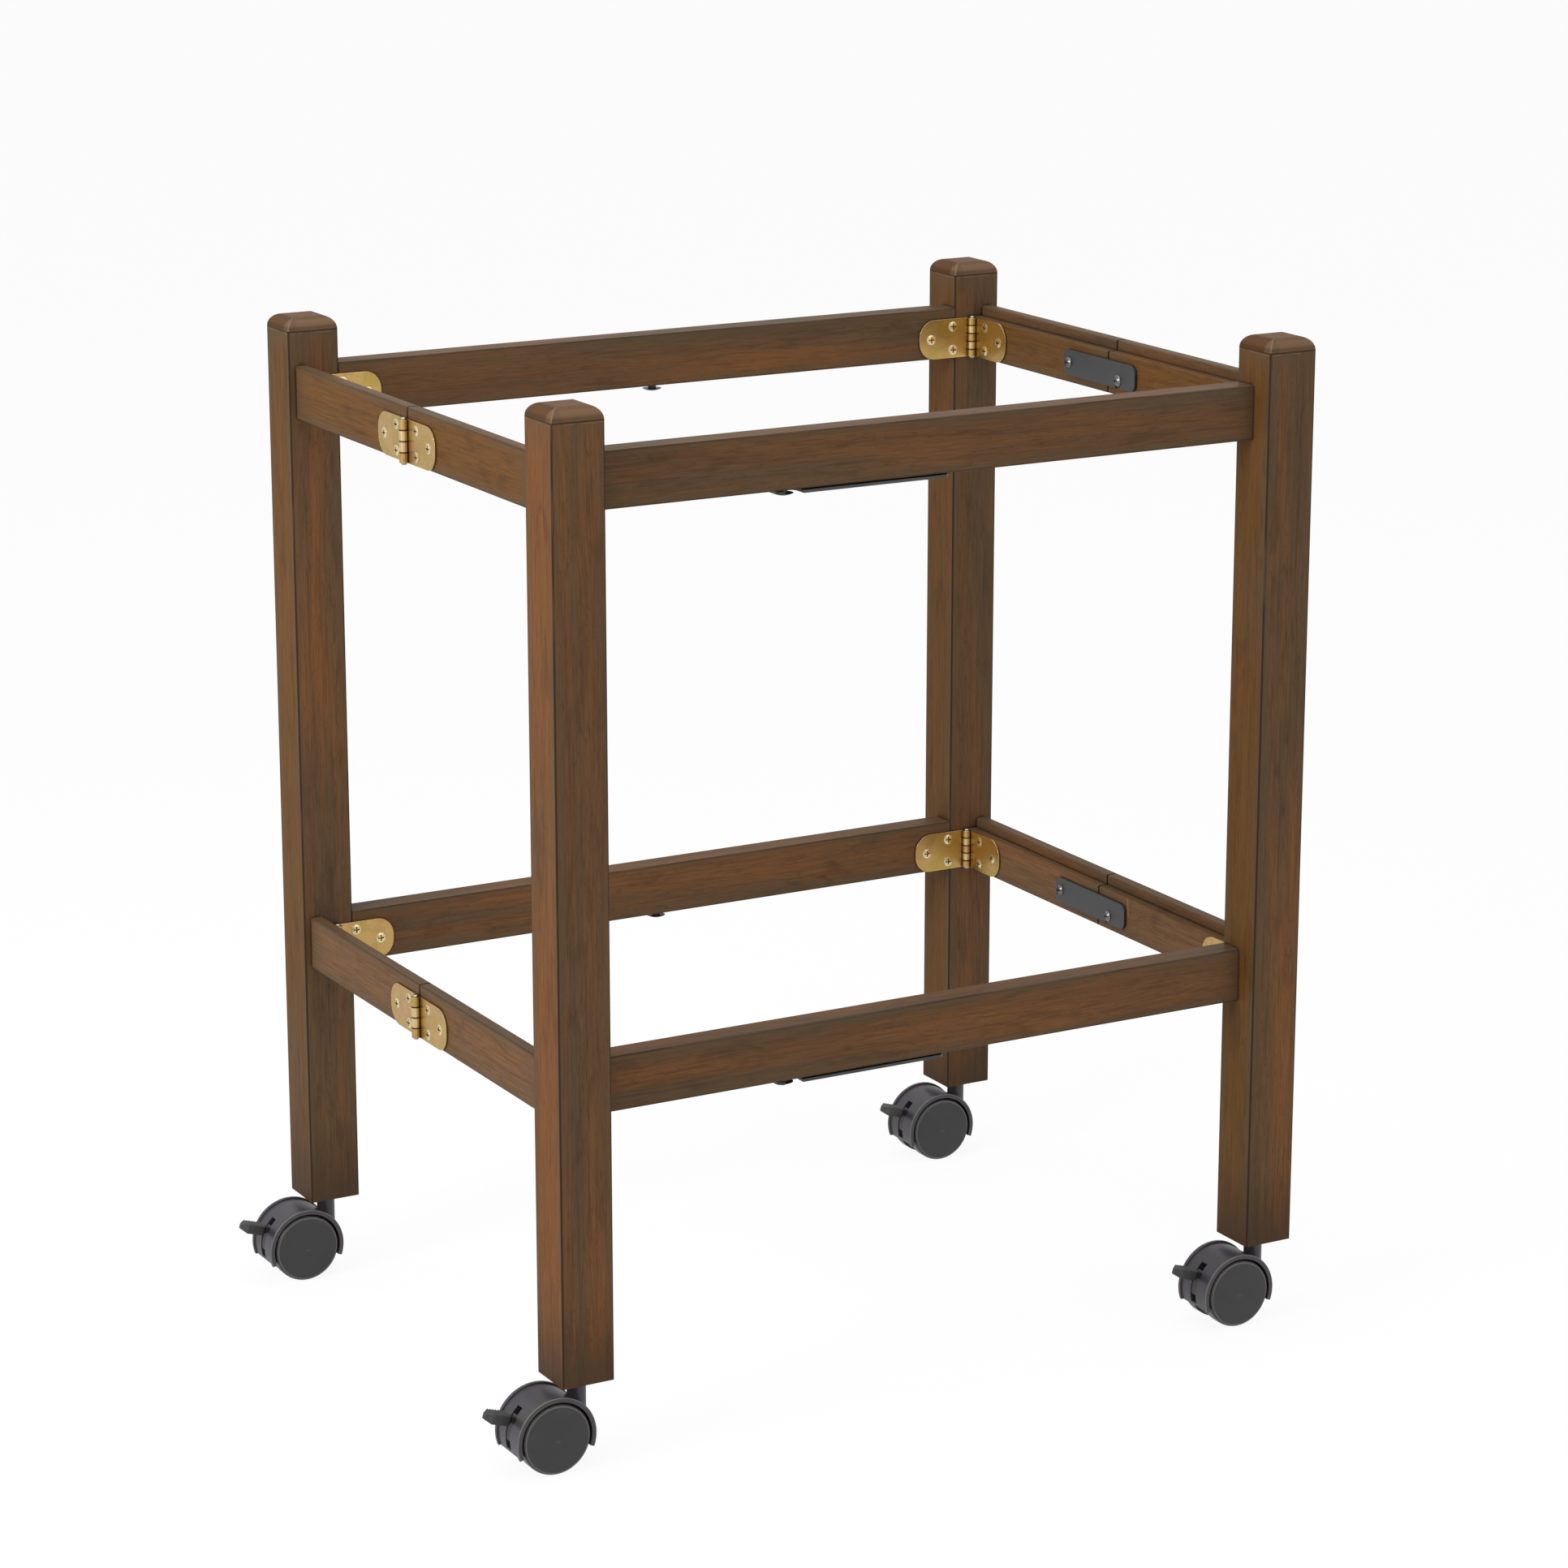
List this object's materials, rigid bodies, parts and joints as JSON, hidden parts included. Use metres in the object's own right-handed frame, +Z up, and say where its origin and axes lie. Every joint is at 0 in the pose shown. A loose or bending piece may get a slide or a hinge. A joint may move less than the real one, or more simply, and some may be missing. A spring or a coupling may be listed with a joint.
{
  "type": "folding serving trolley",
  "caption": "Wooden serving trolley frame on casters: its side rails hinge inwards so it folds flat, with ledges for lift-out trays.",
  "frame": {"origin": "on the floor under the middle of the overall outline, which the trailing casters push to one side", "axes": "+X to the right along the long rails, +Y to the back, +Z up; the left and right ends fold inwards at their middles"},
  "size_m": [0.635, 0.45, 0.714],
  "materials": {
    "stained_wood": "walnut-brown stain under thin satin lacquer",
    "yellow_plated_steel": "satin yellow plating",
    "black_steel": "satin black plating",
    "bare_steel": "bright turned steel",
    "black_plastic": "matte moulded nylon"
  },
  "bodies": {
    "front_frame": {"post_front_left": "stained_wood", "post_front_right": "stained_wood", "long_rail_upper_front": "stained_wood", "long_rail_lower_front": "stained_wood", "corner_leaves_front": "yellow_plated_steel", "corner_leaf_screws_front": "yellow_plated_steel", "caster_stems_front": "bare_steel", "fold_bar_screws": "black_steel"},
    "back_frame": {"post_back_left": "stained_wood", "post_back_right": "stained_wood", "long_rail_upper_back": "stained_wood", "long_rail_lower_back": "stained_wood", "corner_leaves_back": "yellow_plated_steel", "corner_leaf_screws_back": "yellow_plated_steel", "caster_stems_back": "bare_steel", "fold_bar_catches": "black_steel"},
    "left_front_half": {"side_rail_upper_left_front": "stained_wood", "side_rail_lower_left_front": "stained_wood", "rail_leaves_left_front": "yellow_plated_steel", "rail_leaf_screws_left_front": "yellow_plated_steel", "latch_keepers_left": "black_steel"},
    "left_back_half": {"side_rail_upper_left_back": "stained_wood", "side_rail_lower_left_back": "stained_wood", "rail_leaves_left_back": "yellow_plated_steel", "rail_leaf_screws_left_back": "yellow_plated_steel"},
    "latch_upper_left": {"latch_upper_left": "black_steel"},
    "latch_lower_left": {"latch_lower_left": "black_steel"},
    "right_front_half": {"side_rail_upper_right_front": "stained_wood", "side_rail_lower_right_front": "stained_wood", "rail_leaves_right_front": "yellow_plated_steel", "rail_leaf_screws_right_front": "yellow_plated_steel", "latch_keepers_right": "black_steel"},
    "right_back_half": {"side_rail_upper_right_back": "stained_wood", "side_rail_lower_right_back": "stained_wood", "rail_leaves_right_back": "yellow_plated_steel", "rail_leaf_screws_right_back": "yellow_plated_steel"},
    "latch_upper_right": {"latch_upper_right": "black_steel"},
    "latch_lower_right": {"latch_lower_right": "black_steel"},
    "fold_bar_upper": {"fold_bar_upper": "black_steel"},
    "fold_bar_lower": {"fold_bar_lower": "black_steel"},
    "caster_front_left": {"caster_hood_front_left": "black_plastic", "caster_axle_front_left": "bare_steel"},
    "brake_front_left": {"brake_lever_front_left": "black_plastic"},
    "wheel_front_left_front": {"wheel_front_left_front": "black_plastic"},
    "wheel_front_left_back": {"wheel_front_left_back": "black_plastic"},
    "caster_front_right": {"caster_hood_front_right": "black_plastic", "caster_axle_front_right": "bare_steel"},
    "brake_front_right": {"brake_lever_front_right": "black_plastic"},
    "wheel_front_right_front": {"wheel_front_right_front": "black_plastic"},
    "wheel_front_right_back": {"wheel_front_right_back": "black_plastic"},
    "caster_back_left": {"caster_hood_back_left": "black_plastic", "caster_axle_back_left": "bare_steel"},
    "brake_back_left": {"brake_lever_back_left": "black_plastic"},
    "wheel_back_left_front": {"wheel_back_left_front": "black_plastic"},
    "wheel_back_left_back": {"wheel_back_left_back": "black_plastic"},
    "caster_back_right": {"caster_hood_back_right": "black_plastic", "caster_axle_back_right": "bare_steel"},
    "brake_back_right": {"brake_lever_back_right": "black_plastic"},
    "wheel_back_right_front": {"wheel_back_right_front": "black_plastic"},
    "wheel_back_right_back": {"wheel_back_right_back": "black_plastic"}
  },
  "joints": [
    {"name": "fold", "type": "hinge", "parent": "front_frame", "child": "right_front_half", "pos_m": [0.29139, -0.1838, 0.25525], "axis": [0, 0, 1], "range_deg": [0, 84]},
    {"name": "fold_right_middle", "type": "hinge", "parent": "right_front_half", "child": "right_back_half", "pos_m": [0.31428, 0, 0.25525], "axis": [0, 0, 1], "range_deg": [-168, 0]},
    {"name": "fold_back_frame", "type": "hinge", "parent": "right_back_half", "child": "back_frame", "pos_m": [0.29139, 0.1838, 0.25525], "axis": [0, 0, 1], "range_deg": [0, 84]},
    {"name": "fold_left_front", "type": "hinge", "parent": "front_frame", "child": "left_front_half", "pos_m": [-0.24321, -0.1838, 0.25525], "axis": [0, 0, 1], "range_deg": [-84, 0]},
    {"name": "fold_left_middle", "type": "hinge", "parent": "left_front_half", "child": "left_back_half", "pos_m": [-0.26611, 0, 0.25525], "axis": [0, 0, 1], "range_deg": [0, 168]},
    {"name": "latch_upper_left_lift", "type": "hinge", "parent": "left_back_half", "child": "latch_upper_left", "pos_m": [-0.24641, 0.0495, 0.65825], "axis": [-1, 0, 0], "range_deg": [0, 90]},
    {"name": "latch_upper_right_lift", "type": "hinge", "parent": "right_back_half", "child": "latch_upper_right", "pos_m": [0.29458, 0.0495, 0.65825], "axis": [-1, 0, 0], "range_deg": [0, 90]},
    {"name": "fold_bar_upper_swing", "type": "hinge", "parent": "front_frame", "child": "fold_bar_upper", "pos_m": [0.02408, -0.197, 0.643], "axis": [0, 0, -1], "range_deg": [0, 100]},
    {"name": "latch_lower_left_lift", "type": "hinge", "parent": "left_back_half", "child": "latch_lower_left", "pos_m": [-0.24641, 0.0495, 0.25525], "axis": [-1, 0, 0], "range_deg": [0, 90]},
    {"name": "latch_lower_right_lift", "type": "hinge", "parent": "right_back_half", "child": "latch_lower_right", "pos_m": [0.29458, 0.0495, 0.25525], "axis": [-1, 0, 0], "range_deg": [0, 90]},
    {"name": "fold_bar_lower_swing", "type": "hinge", "parent": "front_frame", "child": "fold_bar_lower", "pos_m": [0.02408, -0.197, 0.24], "axis": [0, 0, -1], "range_deg": [0, 100]},
    {"name": "caster_front_left_swivel", "type": "hinge", "parent": "front_frame", "child": "caster_front_left", "pos_m": [-0.24891, -0.206, 0.06], "axis": [0, 0, 1], "continuous": true},
    {"name": "wheel_front_left_front_roll", "type": "hinge", "parent": "caster_front_left", "child": "wheel_front_left_front", "pos_m": [-0.27192, -0.206, 0.025], "axis": [0, 1, 0], "continuous": true},
    {"name": "wheel_front_left_back_roll", "type": "hinge", "parent": "caster_front_left", "child": "wheel_front_left_back", "pos_m": [-0.27192, -0.206, 0.025], "axis": [0, 1, 0], "continuous": true},
    {"name": "brake_front_left_press", "type": "hinge", "parent": "caster_front_left", "child": "brake_front_left", "pos_m": [-0.27192, -0.206, 0.025], "axis": [0, -1, 0], "range_deg": [0, 12]},
    {"name": "caster_front_right_swivel", "type": "hinge", "parent": "front_frame", "child": "caster_front_right", "pos_m": [0.29708, -0.206, 0.06], "axis": [0, 0, 1], "continuous": true},
    {"name": "wheel_front_right_front_roll", "type": "hinge", "parent": "caster_front_right", "child": "wheel_front_right_front", "pos_m": [0.27409, -0.206, 0.025], "axis": [0, 1, 0], "continuous": true},
    {"name": "wheel_front_right_back_roll", "type": "hinge", "parent": "caster_front_right", "child": "wheel_front_right_back", "pos_m": [0.27409, -0.206, 0.025], "axis": [0, 1, 0], "continuous": true},
    {"name": "brake_front_right_press", "type": "hinge", "parent": "caster_front_right", "child": "brake_front_right", "pos_m": [0.27409, -0.206, 0.025], "axis": [0, -1, 0], "range_deg": [0, 12]},
    {"name": "caster_back_left_swivel", "type": "hinge", "parent": "back_frame", "child": "caster_back_left", "pos_m": [-0.24891, 0.206, 0.06], "axis": [0, 0, 1], "continuous": true},
    {"name": "wheel_back_left_front_roll", "type": "hinge", "parent": "caster_back_left", "child": "wheel_back_left_front", "pos_m": [-0.27192, 0.206, 0.025], "axis": [0, 1, 0], "continuous": true},
    {"name": "wheel_back_left_back_roll", "type": "hinge", "parent": "caster_back_left", "child": "wheel_back_left_back", "pos_m": [-0.27192, 0.206, 0.025], "axis": [0, 1, 0], "continuous": true},
    {"name": "brake_back_left_press", "type": "hinge", "parent": "caster_back_left", "child": "brake_back_left", "pos_m": [-0.27192, 0.206, 0.025], "axis": [0, -1, 0], "range_deg": [0, 12]},
    {"name": "caster_back_right_swivel", "type": "hinge", "parent": "back_frame", "child": "caster_back_right", "pos_m": [0.29708, 0.206, 0.06], "axis": [0, 0, 1], "continuous": true},
    {"name": "wheel_back_right_front_roll", "type": "hinge", "parent": "caster_back_right", "child": "wheel_back_right_front", "pos_m": [0.27409, 0.206, 0.025], "axis": [0, 1, 0], "continuous": true},
    {"name": "wheel_back_right_back_roll", "type": "hinge", "parent": "caster_back_right", "child": "wheel_back_right_back", "pos_m": [0.27409, 0.206, 0.025], "axis": [0, 1, 0], "continuous": true},
    {"name": "brake_back_right_press", "type": "hinge", "parent": "caster_back_right", "child": "brake_back_right", "pos_m": [0.27409, 0.206, 0.025], "axis": [0, -1, 0], "range_deg": [0, 12]}
  ],
  "couplings": [
    {"joint": "fold_right_middle", "follows": "fold", "ratio": -2},
    {"joint": "fold_back_frame", "follows": "fold", "ratio": 1},
    {"joint": "fold_left_front", "follows": "fold", "ratio": -1},
    {"joint": "fold_left_middle", "follows": "fold", "ratio": 2}
  ]
}
